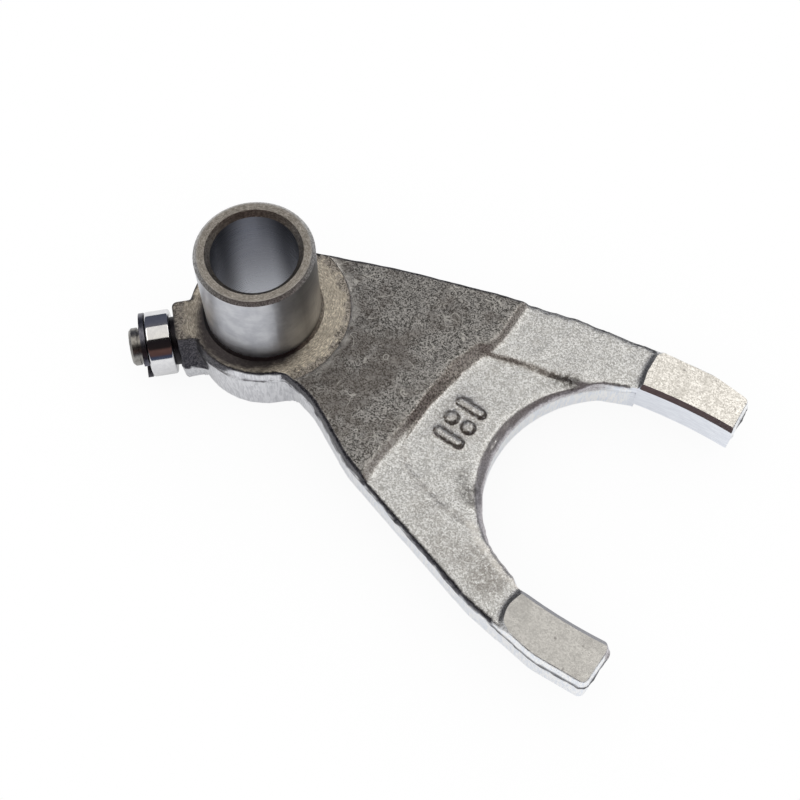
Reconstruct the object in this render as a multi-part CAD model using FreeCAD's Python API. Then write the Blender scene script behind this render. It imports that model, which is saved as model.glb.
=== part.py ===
"""Transmission shift fork: forging with its rail barrel and follower pin, roller and pin clip.

Millimetres.  Origin where the rail bore's axis meets the middle plane of the two pads.
+Z runs up the barrel, +X points from the bore toward the middle of the claw.
The near arm is the one on the -Y side, the far arm the one on the +Y side.
"""
import FreeCAD
import Part
import math
import os
from FreeCAD import Vector

os.makedirs("parts", exist_ok=True)

# Barrel and bore
BORE_R = 6.0
BARREL_WALL = 2.25
BARREL_R = BORE_R + BARREL_WALL
BARREL_LENGTH = 25.3
BORE_CHAMFER = 0.7
BARREL_EDGE = 0.5
BARREL_ROOT = 0.4

# Heights, measured from the pads' middle plane
PAD_THICKNESS = 5.9
PAD_TOP = PAD_THICKNESS / 2.0
PAD_BOTTOM = -PAD_THICKNESS / 2.0
BARREL_DROP = 4.4
BARREL_LOW = PAD_BOTTOM - BARREL_DROP
BARREL_HIGH = BARREL_LOW + BARREL_LENGTH
SPOT_Z = PAD_TOP
SPOT_DEPTH = 0.2
WEB_TOP = SPOT_Z + SPOT_DEPTH
WEB_DROP = 0.8
WEB_BOTTOM = PAD_BOTTOM - WEB_DROP
ARM_STEP = 0.7
ARM_TOP = PAD_TOP - ARM_STEP
RECESS_DEPTH = 0.6
RECESS_Z = ARM_TOP - RECESS_DEPTH
PARTING_DROP = 1.8
PARTING_Z = PAD_TOP - PARTING_DROP

# Forging drafts, edges and the ridge left by the trimmed flash
DRAFT_TOP = 0.3
DRAFT_LOW = 0.15
WEB_EDGE_R = 0.7
LOW_EDGE_R = 0.5
FLASH_PROUD = 0.12
FLASH_HALF = 0.2

# Hub round the barrel, and the machined ring on top of it
HUB_RIM = 2.65
HUB_R = BARREL_R + HUB_RIM
HUB_TAPER = 0.55
HUB_LOW_R = HUB_R - HUB_TAPER
HUB_EDGE = 0.6
HUB_SKIRT = 3.85
HUB_SKIRT_LIFT = 0.3
SPOT_RING = 4.15
SPOT_R = BARREL_R + SPOT_RING

# Claw: two pads with ground inner walls, and a forged root between the arms
CLAW_X = 61.0
CLAW_Y = -0.4
CLAW_HALF_GAP = 17.6
CLAW_WALL_R = 70.0
PAD_START_X = 50.75
PAD_WALL_X = PAD_START_X + 0.65
PAD_END_X = 65.7
PAD_WIDTH = 6.7
PAD_EDGE = 0.6
PAD_FOOT_LAG = 1.75
ROOT_X = 57.45
ROOT_Y = -0.3
ROOT_RELIEF = 0.7
ROOT_R = CLAW_HALF_GAP + ROOT_RELIEF
ROOT_NEAR_ANGLE = 230.0
ROOT_FAR_ANGLE = 126.0
ROOT_END = 0.4
ROOT_END_R = 1.4
ROOT_LOW_LESS = 0.1
ROOT_LOW_SHIFT = (-0.15, 0.1)
NEAR_WALL = CLAW_Y - CLAW_HALF_GAP
FAR_WALL = CLAW_Y + CLAW_HALF_GAP
NEAR_SIDE = NEAR_WALL - PAD_WIDTH
FAR_SIDE = FAR_WALL + PAD_WIDTH

# Follower boss and pin
PIN_ANGLE = 221.5
PIN_RISE = 4.9
PIN_Z = BARREL_LOW + PIN_RISE
PIN_R = 2.75
BOSS_REACH = 2.0
BOSS_END = HUB_R + BOSS_REACH
BOSS_TOP_HALF = 3.15
BOSS_MID_HALF = 5.0
BOSS_LOW_HALF = 3.8
BOSS_LOW_FLARE = 0.4
BOSS_FLARE = 2.4
BOSS_EDGE_R = 0.8
BOSS_NECK_R = 2.0
BOSS_NECK = 3.0
BOSS_ROOT = 5.5
SHOULDER_STEP = 0.75
SHOULDER_R = PIN_R + SHOULDER_STEP
SHOULDER = 0.7
PIN_TAIL = 1.75
PIN_TAIL_EDGE = 0.35
PIN_LINE_DEPTH = 0.25
PIN_LINE_WIDTH = 0.25
PIN_LINE_BACK = 1.4

# Roller and clip
ROLLER_WALL = 1.94
ROLLER_LENGTH = 3.6
ROLLER_EDGE = 0.4
ROLLER_BORE_EDGE = 0.2
ROLLER_RADIAL_GAP = 0.03
ROLLER_END_GAP = 0.05
CLIP_GROOVE_DEPTH = 0.75
CLIP_GROOVE_R = PIN_R - CLIP_GROOVE_DEPTH
CLIP_T = 0.7
CLIP_SIDE_GAP = 0.03
CLIP_SEAT_GAP = 0.02
CLIP_LUG = 2.7
CLIP_BAND = 1.35
CLIP_GRIP = 0.33
CLIP_POCKET_START = 68.0
CLIP_POCKET_END = 160.0
CLIP_TURN = 90.0

# Where the roller sits along the pin, and where the pin's groove and tail end
ROLLER_START = BOSS_END + SHOULDER + ROLLER_END_GAP
ROLLER_STOP = ROLLER_START + ROLLER_LENGTH
GROOVE_START = ROLLER_STOP + ROLLER_END_GAP
GROOVE_END = GROOVE_START + CLIP_T + 2 * CLIP_SIDE_GAP
PIN_END = GROOVE_END + PIN_TAIL

# Plain raised mark in the recess
MARK_X = 32.9
MARK_Y = -0.7
MARK_TURN = -4.0
MARK_LENGTH = 4.8
MARK_WIDTH = 1.5
MARK_PITCH = 2.75
MARK_BUTTON_R = 1.05
MARK_BUTTON_STEP = 1.35
MARK_RISE = 0.6
MARK_SINK = 0.3
MARK_DRAFT = 0.15
MARK_EDGE = 0.3

CLEAR = 1.0
UP = Vector(0, 0, 1)


def rounded(points, z):
    """Closed wire through (x, y, corner radius) points, every corner rounded by its radius."""
    count = len(points)
    cuts = []
    for i in range(count):
        x, y, r = points[i]
        here = Vector(x, y, z)
        back = Vector(points[i - 1][0], points[i - 1][1], z) - here
        ahead = Vector(points[(i + 1) % count][0], points[(i + 1) % count][1], z) - here
        back.normalize()
        ahead.normalize()
        half = math.acos(max(-1.0, min(1.0, back.dot(ahead)))) / 2.0
        reach = r / math.tan(half)
        inward = back + ahead
        inward.normalize()
        centre = here + inward * (r / math.sin(half))
        cuts.append((here + back * reach, centre - inward * r, here + ahead * reach))
    edges = []
    for i in range(count):
        start, middle, end = cuts[i]
        edges.append(Part.Arc(start, middle, end).toShape())
        following = cuts[(i + 1) % count][0]
        if end.distanceToPoint(following) > 1e-6:
            edges.append(Part.LineSegment(end, following).toShape())
    return Part.Wire(edges)


def grown(points, d):
    """The same outline with every side moved outward by d (negative: inward)."""
    count = len(points)
    lines = []
    for i in range(count):
        ax, ay, _ = points[i]
        bx, by, _ = points[(i + 1) % count]
        length = math.hypot(bx - ax, by - ay)
        nx = (by - ay) / length
        ny = -(bx - ax) / length
        lines.append((nx, ny, nx * ax + ny * ay + d))
    out = []
    for i in range(count):
        ax, ay, ac = lines[i - 1]
        bx, by, bc = lines[i]
        det = ax * by - ay * bx
        x = (ac * by - bc * ay) / det
        y = (ax * bc - bx * ac) / det
        r = points[i][2] + (d if det > 0 else -d)
        out.append((x, y, max(0.05, r)))
    return out


def prism(points, low, high):
    return Part.Face(rounded(points, low)).extrude(Vector(0, 0, high - low))


def loft(low_points, low, high_points, high):
    return Part.makeLoft([rounded(low_points, low), rounded(high_points, high)], True, True)


def taper(points, low, low_d, high, high_d):
    """Solid between the outline grown by low_d at height low and by high_d at height high."""
    return loft(grown(points, low_d), low, grown(points, high_d), high)


def polar(radius, degrees):
    t = math.radians(degrees)
    return radius * math.cos(t), radius * math.sin(t)


def arc_corner(x, y, r, a, b):
    """Corner of the tangents at angles a and b of a circle, rounded by the circle's radius."""
    dx, dy = polar(r / math.cos(math.radians((b - a) / 2.0)), (a + b) / 2.0)
    return (x + dx, y + dy, r)


def beyond(x, y, r, angle, step, corner):
    """Corner on the circle's tangent at angle, step past the point where it touches."""
    px, py = polar(r, angle)
    tx, ty = polar(step, angle + 90.0)
    return (x + px + tx, y + py + ty, corner)


def edges_at(shape, z):
    return [e for e in shape.Edges if all(abs(v.Point.z - z) < 1e-5 for v in e.Vertexes)]


def turned(profile):
    """Solid of revolution about +Z from (radius, height) points."""
    corners = [Vector(r, 0, z) for r, z in profile]
    wire = Part.makePolygon(corners + [corners[0]])
    return Part.Face(wire).revolve(Vector(0, 0, 0), UP, 360)


def disc(radius, low, high):
    return Part.makeCylinder(radius, high - low, Vector(0, 0, low))


def cone(low_r, high_r, low, high):
    return Part.makeCone(low_r, high_r, high - low, Vector(0, 0, low))


def on_pin(shape):
    """Moves a shape built along +Z from the bore axis onto the follower pin's axis."""
    shape.rotate(Vector(0, 0, 0), Vector(0, 1, 0), 90)
    shape.rotate(Vector(0, 0, 0), UP, PIN_ANGLE)
    shape.translate(Vector(0, 0, PIN_Z))
    return shape


# Web corner on the far side, and the angle where the near side leaves the hub circle
WEB_FAR = (13.15, 15.95)
HUB_NEAR = 308.0


def root_corners(x, y, r, near_angle, far_angle, corner):
    """The claw's root arc from the near arm round to the far arm, as (x, y, r) corners."""
    middle = (near_angle + far_angle) / 2.0
    return [
        beyond(x, y, r, near_angle, ROOT_END, corner),
        arc_corner(x, y, r, near_angle, middle),
        arc_corner(x, y, r, middle, far_angle),
        beyond(x, y, r, far_angle, -ROOT_END, corner),
    ]


def outline(hub_r, claw, near_root):
    """Plan outline counter-clockwise round one hub circle and one claw circle, as (x, y, r)."""
    far = math.degrees(math.atan2(WEB_FAR[1], WEB_FAR[0]) + math.acos(hub_r / math.hypot(*WEB_FAR)))
    third = (HUB_NEAR - far) / 3.0
    return [
        arc_corner(0, 0, hub_r, far, far + third),
        arc_corner(0, 0, hub_r, far + third, far + 2 * third),
        arc_corner(0, 0, hub_r, far + 2 * third, HUB_NEAR),
        beyond(0, 0, hub_r, HUB_NEAR, 2.0, 2.2),
        (13.9, -8.9, 8.0), (22.4, -13.9, 14.0), (46.5, NEAR_SIDE + 2.35, 22.0),
        (57.5, NEAR_SIDE, 10.0), (PAD_END_X - 0.35, NEAR_SIDE, 1.15),
        (PAD_END_X + 0.1, NEAR_WALL + 0.3, 1.6), (PAD_WALL_X, near_root, 2.0),
        (PAD_WALL_X - 1.2, near_root + 1.1, 2.0),
        *root_corners(*claw, ROOT_NEAR_ANGLE, ROOT_FAR_ANGLE, ROOT_END_R),
        (PAD_WALL_X, FAR_WALL - 0.7, 3.0), (PAD_END_X, FAR_WALL - 2.2, 2.2),
        (PAD_END_X, FAR_SIDE - 0.95, 1.15), (60.0, FAR_SIDE, 10.0),
        (50.5, FAR_SIDE - 0.4, 25.0), (39.0, FAR_SIDE - 1.65, 30.0), (27.9, 19.85, 50.0), (*WEB_FAR, 50.0),
    ]


# At the parting plane and at the bottom
OUTLINE = outline(HUB_R, (ROOT_X, ROOT_Y, ROOT_R), NEAR_WALL + 0.65)
LOW_ROOT = (ROOT_X + ROOT_LOW_SHIFT[0], ROOT_Y + ROOT_LOW_SHIFT[1], ROOT_R - ROOT_LOW_LESS)
LOW_OUTLINE = outline(HUB_LOW_R - 0.1, LOW_ROOT, NEAR_WALL + 1.05)

# Claw area that lies at the arms' height, lower than the web and the pads
ARM_AREA = [
    (26.4, -40.0, 0.5), (PAD_START_X + 3.9, -40.0, 0.5), (PAD_START_X + 3.6, -24.7, 1.0),
    (PAD_START_X + 0.75, -22.9, 2.0), (PAD_START_X + 0.15, -20.3, 4.0), (PAD_START_X + 1.3, -16.9, 0.5),
    (PAD_START_X + 0.7, 16.0, 0.5), (PAD_START_X + 0.05, 19.2, 3.0), (PAD_START_X + 0.05, 22.7, 1.2),
    (PAD_START_X + 1.6, 24.4, 0.8), (PAD_START_X + 2.6, 40.0, 0.5),
    (32.4, 40.0, 0.5), (31.7, 14.0, 4.0), (31.2, 11.2, 0.8),
    (29.9, 10.3, 1.2), (28.7, 5.8, 5.0), (27.75, -1.0, 12.0), (27.1, -7.0, 8.0), (26.5, -12.0, 8.0),
]
ARM_SLOPE = 0.9
ARM_CUT = 1.2

# Shallow recess between the arms, deepest on the far side, with a long ramp up to the web
RAMP_FOOT = [(30.5, 10.3, 1.0), (29.4, 6.0, 6.0), (28.0, -1.0, 10.0)]
RAMP_HEAD = [(28.7, 11.1, 1.0), (26.3, 5.8, 5.0), (26.1, -1.0, 10.0)]
RECESS = RAMP_FOOT + [
    (27.9, -7.4, 1.5), (29.7, -9.9, 2.0), (36.2, -12.3, 8.0), (46.5, -14.5, 1.0),
    (52.0, -9.0, 1.0), (52.0, 9.0, 1.0), (46.2, 13.5, 0.6), (40.5, 12.1, 8.0), (35.4, 11.5, 8.0),
]
RECESS_SLOPE = 0.9
RECESS_CUT = 1.8
RECESS_DEEP_Y = 12.0
RECESS_TILT = 1.1

# Sloped top of the claw's root wall: how the circle at its head differs from the one at its foot
SLOPE_LOW = 0.45
SLOPE_HIGH = 2.65
SLOPE_INSET = 0.3
SLOPE_BACK = 4.45
SLOPE_LESS = 2.1
SLOPE_FOOT_TURN = 5.0
SLOPE_HEAD_TURN = 13.0
SLOPE_END_R = 0.8
SLOPE_FOOT_END = [(ROOT_X - 3.5, 14.1, 1.0), (ROOT_X - 3.5, -14.1, 1.0)]
SLOPE_HEAD_END = [(ROOT_X - 3.5, 15.1, 1.0), (ROOT_X - 3.5, -17.0, 1.0)]


def boss_outline(half, flare):
    neck = BOSS_END - BOSS_NECK
    root = BOSS_END - BOSS_ROOT
    side = half + flare
    return [(BOSS_END, -half, BOSS_EDGE_R), (BOSS_END, half, BOSS_EDGE_R), (neck, half, BOSS_NECK_R),
            (root, side, 0.3), (0.0, side, 0.3), (0.0, -side, 0.3), (root, -side, 0.3),
            (neck, -half, BOSS_NECK_R)]


def follower_boss():
    """Boss that carries the pin: widest at the pin's height, drafted to its top and bottom."""
    low = boss_outline(BOSS_LOW_HALF, BOSS_LOW_FLARE)
    middle = boss_outline(BOSS_MID_HALF, BOSS_FLARE)
    top = boss_outline(BOSS_TOP_HALF, BOSS_FLARE)
    boss = loft(low, BARREL_LOW, middle, PIN_Z).fuse(loft(middle, PIN_Z, top, SPOT_Z))
    boss.rotate(Vector(0, 0, 0), UP, PIN_ANGLE)
    return boss


def pin():
    """The follower pin with its shoulder, clip groove and the fine line near its end."""
    root = BOSS_END - BOSS_NECK
    line = PIN_END - PIN_LINE_BACK
    line_r = PIN_R - PIN_LINE_DEPTH
    return on_pin(turned([
        (0, root), (SHOULDER_R, root), (SHOULDER_R, BOSS_END + SHOULDER), (PIN_R, BOSS_END + SHOULDER),
        (PIN_R, GROOVE_START), (CLIP_GROOVE_R, GROOVE_START),
        (CLIP_GROOVE_R, GROOVE_END), (PIN_R, GROOVE_END),
        (PIN_R, line), (line_r, line), (line_r, line + PIN_LINE_WIDTH), (PIN_R, line + PIN_LINE_WIDTH),
        (PIN_R, PIN_END - PIN_TAIL_EDGE), (PIN_R - PIN_TAIL_EDGE, PIN_END), (0, PIN_END)]))


def slab(x, low, high):
    """Wide block across both arms from x to past their tips."""
    reach = 2.0 * (CLAW_HALF_GAP + PAD_WIDTH)
    return Part.makeBox(PAD_END_X - x + 3 * CLEAR, 2 * reach, high - low, Vector(x, -reach, low))


def claw_wall(side):
    """Cutter for one pad's ground inner wall (side +1 or -1), with both of its edge bevels."""
    low = PAD_BOTTOM - CLEAR
    high = PAD_TOP + CLEAR
    drop = PAD_EDGE + CLEAR
    wall = disc(CLAW_WALL_R, low, high)
    wall = wall.fuse([cone(CLAW_WALL_R + drop, CLAW_WALL_R, low, low + drop),
                      cone(CLAW_WALL_R, CLAW_WALL_R + drop, high - drop, high)])
    wall.translate(Vector(CLAW_X, CLAW_Y + side * (CLAW_HALF_GAP - CLAW_WALL_R), 0))
    corner = Vector(PAD_WALL_X, CLAW_Y + side * CLAW_HALF_GAP - PAD_WIDTH, low)
    span = PAD_END_X - PAD_WALL_X + 3 * CLEAR
    return wall.common(Part.makeBox(span, 2 * PAD_WIDTH, high - low, corner))


def root_slope():
    """Cutter for the sloped top of the claw's root wall, which fades out along both arms."""
    foot = root_corners(ROOT_X, ROOT_Y, ROOT_R - SLOPE_INSET,
                        ROOT_NEAR_ANGLE - SLOPE_FOOT_TURN, ROOT_FAR_ANGLE + SLOPE_FOOT_TURN, SLOPE_END_R)
    head = root_corners(ROOT_X - SLOPE_BACK, ROOT_Y, ROOT_R - SLOPE_LESS,
                        ROOT_NEAR_ANGLE + SLOPE_HEAD_TURN, ROOT_FAR_ANGLE - SLOPE_HEAD_TURN, SLOPE_END_R)
    return loft(foot + SLOPE_FOOT_END, SLOPE_LOW, head + SLOPE_HEAD_END, SLOPE_HIGH)


def tilted(shape):
    """The recess floor is deepest on its far side and fades out toward the near arm."""
    shape.rotate(Vector(0, RECESS_DEEP_Y, RECESS_Z), Vector(1, 0, 0), -RECESS_TILT)
    return shape


def mark():
    """Plain raised die mark in the recess: two bars with a pair of buttons between them."""
    low = RECESS_Z - MARK_SINK
    high = RECESS_Z + MARK_RISE
    x = MARK_LENGTH / 2
    y = MARK_WIDTH / 2
    bar = [(-x, -y, y), (x, -y, y), (x, y, y), (-x, y, y)]
    shapes = []
    for offset in (-MARK_PITCH, MARK_PITCH):
        one = taper(bar, low, MARK_DRAFT, high, -MARK_DRAFT)
        one = one.makeChamfer(MARK_EDGE, edges_at(one, high))
        one.translate(Vector(0, offset, 0))
        shapes.append(one)
    for offset in (-MARK_BUTTON_STEP, MARK_BUTTON_STEP):
        one = cone(MARK_BUTTON_R + MARK_DRAFT, MARK_BUTTON_R - MARK_DRAFT, low, high)
        one = one.makeChamfer(MARK_EDGE, edges_at(one, high))
        one.translate(Vector(offset, 0, 0))
        shapes.append(one)
    for one in shapes:
        one.rotate(Vector(0, 0, 0), UP, MARK_TURN)
        one.translate(Vector(MARK_X, MARK_Y, 0))
        tilted(one)
    return shapes


def forged_stock():
    """Web, arms and hub as forged: two drafted halves that meet in the trimmed flash ridge."""
    ridge_low = PARTING_Z - FLASH_HALF
    ridge_high = PARTING_Z + FLASH_HALF
    upper = taper(OUTLINE, ridge_high, 0.0, WEB_TOP, -DRAFT_TOP)
    upper = upper.makeFillet(WEB_EDGE_R, edges_at(upper, WEB_TOP))
    lower = loft(grown(LOW_OUTLINE, -DRAFT_LOW), WEB_BOTTOM, OUTLINE, ridge_low)
    lower = lower.makeFillet(LOW_EDGE_R, edges_at(lower, WEB_BOTTOM))
    ridge = [taper(OUTLINE, ridge_low, 0.0, PARTING_Z, FLASH_PROUD),
             taper(OUTLINE, PARTING_Z, FLASH_PROUD, ridge_high, 0.0)]
    hub = cone(HUB_LOW_R, HUB_R, BARREL_LOW, ridge_low)
    hub = hub.makeChamfer(HUB_EDGE, edges_at(hub, BARREL_LOW))
    skirt_high = WEB_BOTTOM + HUB_SKIRT_LIFT
    skirt = cone(HUB_LOW_R - 0.1, HUB_LOW_R + HUB_SKIRT, BARREL_LOW + HUB_SKIRT_LIFT, skirt_high)
    skirt = skirt.common(prism(grown(OUTLINE, -LOW_EDGE_R - HUB_SKIRT_LIFT), BARREL_LOW, skirt_high))
    return upper.fuse([lower, hub, skirt] + ridge)


def forging():
    """The whole fork: forged stock, then its machined areas, boss, pin, barrel, mark and bore."""
    body = forged_stock()
    relief = taper(ARM_AREA, ARM_TOP, 0.0, ARM_TOP + ARM_CUT, ARM_CUT * ARM_SLOPE)
    recess_top = RAMP_HEAD + grown(RECESS, RECESS_CUT * RECESS_SLOPE)[len(RAMP_HEAD):]
    recess = tilted(loft(RECESS, RECESS_Z, recess_top, RECESS_Z + RECESS_CUT))
    body = body.cut([relief, recess])
    body = body.cut(root_slope())

    pad_face = slab(PAD_START_X - CLEAR, PAD_TOP, PAD_TOP + 2 * CLEAR)
    pad_foot = slab(PAD_START_X + PAD_FOOT_LAG, WEB_BOTTOM - CLEAR, PAD_BOTTOM)
    body = body.cut([pad_face, pad_foot, claw_wall(1), claw_wall(-1)])

    body = body.fuse([follower_boss()])
    body = body.cut(disc(SPOT_R, SPOT_Z, SPOT_Z + 2 * CLEAR))

    edge = BARREL_EDGE
    barrel = turned([
        (0, BARREL_LOW), (BARREL_R - edge, BARREL_LOW), (BARREL_R, BARREL_LOW + edge),
        (BARREL_R, BARREL_HIGH - edge), (BARREL_R - edge, BARREL_HIGH), (0, BARREL_HIGH)])
    root = cone(BARREL_R + BARREL_ROOT, BARREL_R, SPOT_Z, SPOT_Z + BARREL_ROOT)
    body = body.fuse([pin(), barrel, root] + mark())

    mouth = BORE_R + BORE_CHAMFER + CLEAR
    bore = turned([
        (0, BARREL_LOW - CLEAR), (mouth, BARREL_LOW - CLEAR), (BORE_R, BARREL_LOW + BORE_CHAMFER),
        (BORE_R, BARREL_HIGH - BORE_CHAMFER), (mouth, BARREL_HIGH + CLEAR), (0, BARREL_HIGH + CLEAR)])
    return body.cut(bore).removeSplitter()


def roller():
    """Hardened sleeve that turns on the pin, with softened outer edges."""
    bore = PIN_R + ROLLER_RADIAL_GAP
    outer = bore + ROLLER_WALL
    soft = 0.3 * ROLLER_EDGE
    return on_pin(turned([
        (bore, ROLLER_START + ROLLER_BORE_EDGE), (bore + ROLLER_BORE_EDGE, ROLLER_START),
        (outer - ROLLER_EDGE, ROLLER_START), (outer - soft, ROLLER_START + soft),
        (outer, ROLLER_START + ROLLER_EDGE), (outer, ROLLER_STOP - ROLLER_EDGE),
        (outer - soft, ROLLER_STOP - soft), (outer - ROLLER_EDGE, ROLLER_STOP),
        (bore + ROLLER_BORE_EDGE, ROLLER_STOP), (bore, ROLLER_STOP - ROLLER_BORE_EDGE)]))


def clip():
    """Spring-steel E-clip in the pin's groove, its mouth turned to the near side."""
    outer = CLIP_GROOVE_R + CLIP_LUG
    half = CLIP_GROOVE_R - CLIP_GRIP
    cuts = [disc(CLIP_GROOVE_R + CLIP_SEAT_GAP, 0, CLIP_T),
            Part.makeBox(outer + CLEAR, 2 * half, CLIP_T, Vector(0, -half, 0))]
    for start in (CLIP_POCKET_START, -CLIP_POCKET_END):
        pocket = Part.makeCylinder(CLIP_GROOVE_R + CLIP_BAND, CLIP_T, Vector(0, 0, 0), UP,
                                   CLIP_POCKET_END - CLIP_POCKET_START)
        pocket.rotate(Vector(0, 0, 0), UP, start)
        cuts.append(pocket)
    plate = disc(outer, 0, CLIP_T).cut(cuts)
    plate.rotate(Vector(0, 0, 0), UP, CLIP_TURN)
    plate.translate(Vector(0, 0, GROOVE_START + CLIP_SIDE_GAP))
    return on_pin(plate.removeSplitter())


PARTS = {"fork": forging, "roller": roller, "clip": clip}

for name, make in PARTS.items():
    make().Solids[0].exportStep(os.path.join("parts", name + ".step"))
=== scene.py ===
"""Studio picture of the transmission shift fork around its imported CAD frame.

Everything is in metres in the CAD frame; lengths named _MM are millimetres.
"""
import math

import bmesh
import bpy
from mathutils import Matrix, Vector, noise
from mathutils.bvhtree import BVHTree


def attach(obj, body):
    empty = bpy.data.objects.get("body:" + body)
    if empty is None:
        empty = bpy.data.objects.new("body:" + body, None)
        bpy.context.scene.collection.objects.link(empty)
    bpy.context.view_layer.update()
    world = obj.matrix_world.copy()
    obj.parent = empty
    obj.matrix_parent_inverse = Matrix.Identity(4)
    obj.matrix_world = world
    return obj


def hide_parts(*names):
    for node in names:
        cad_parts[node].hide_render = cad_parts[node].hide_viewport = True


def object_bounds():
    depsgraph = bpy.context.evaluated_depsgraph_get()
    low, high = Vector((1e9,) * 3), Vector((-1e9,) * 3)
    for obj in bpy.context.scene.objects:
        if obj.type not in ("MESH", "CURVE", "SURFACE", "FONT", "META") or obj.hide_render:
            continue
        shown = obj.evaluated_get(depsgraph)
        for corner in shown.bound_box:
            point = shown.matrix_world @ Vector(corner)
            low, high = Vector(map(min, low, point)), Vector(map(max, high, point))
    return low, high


MM = 0.001
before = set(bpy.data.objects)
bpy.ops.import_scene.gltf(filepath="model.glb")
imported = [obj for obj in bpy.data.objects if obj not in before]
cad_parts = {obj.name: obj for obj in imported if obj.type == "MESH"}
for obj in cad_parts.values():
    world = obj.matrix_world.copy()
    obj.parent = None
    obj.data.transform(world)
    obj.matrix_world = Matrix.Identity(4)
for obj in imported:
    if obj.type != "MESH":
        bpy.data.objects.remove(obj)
CAD_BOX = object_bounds()

# Heights and radii that the CAD model gives
PAD_TOP_MM = 2.95
WEB_TOP_MM = 3.15
ARM_TOP_MM = 2.25
PARTING_MM = 1.15
BORE_R_MM = 6.0
BARREL_R_MM = 8.25
BARREL_TOP_MM = 17.95
BARREL_LOW_MM = -7.35
BOSS_END_MM = 12.9
PAD_START_MM = 50.75
CLAW_Y_MM = -0.4
CLAW_HALF_GAP_MM = 17.6
SHOULDER_R_MM = 3.4
PIN_Z_MM = -2.45
PIN_AXIS = Vector((math.cos(math.radians(221.5)), math.sin(math.radians(221.5)), 0.0))

# Level directions across the follower pin, and across the barrel from its bright side to the side with
# its painted dark reflection
ACROSS_PIN = Vector((-PIN_AXIS.y, PIN_AXIS.x, 0.0))
ACROSS_BARREL = Vector((0.737, 0.676, 0.0))
UP = Vector((0.0, 0.0, 1.0))

ROLLER_BORE_MM = 2.78
ROLLER_R_MM = 4.72
ROLLER_SPAN_MM = (13.65, 17.25)
ROLLER_EDGE_MM = 0.35
ROLLER_SEGMENTS = 128

# Soft boxes: their height, how far they reach from overhead on either side of the pin, and colour
BOX_HEIGHT = 0.8
BOX_FAR = math.radians(33.5)
BOX_NEAR = math.radians(13.3)
BOX_COLOUR = (1.0, 0.97, 0.90)

# Each soft box's stretch along the follower pin, as angles from overhead, and its brightness
BOXES = [(-46.0, -13.0, 1.9), (-13.0, 15.0, 0.85), (15.0, 46.0, 1.9)]

# Regions of the forging, which are also its material slots in this order
SKIN, BARREL, BORE, RING, SPOT, PAD, WALL, PIN, SHOULDER = range(9)


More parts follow.
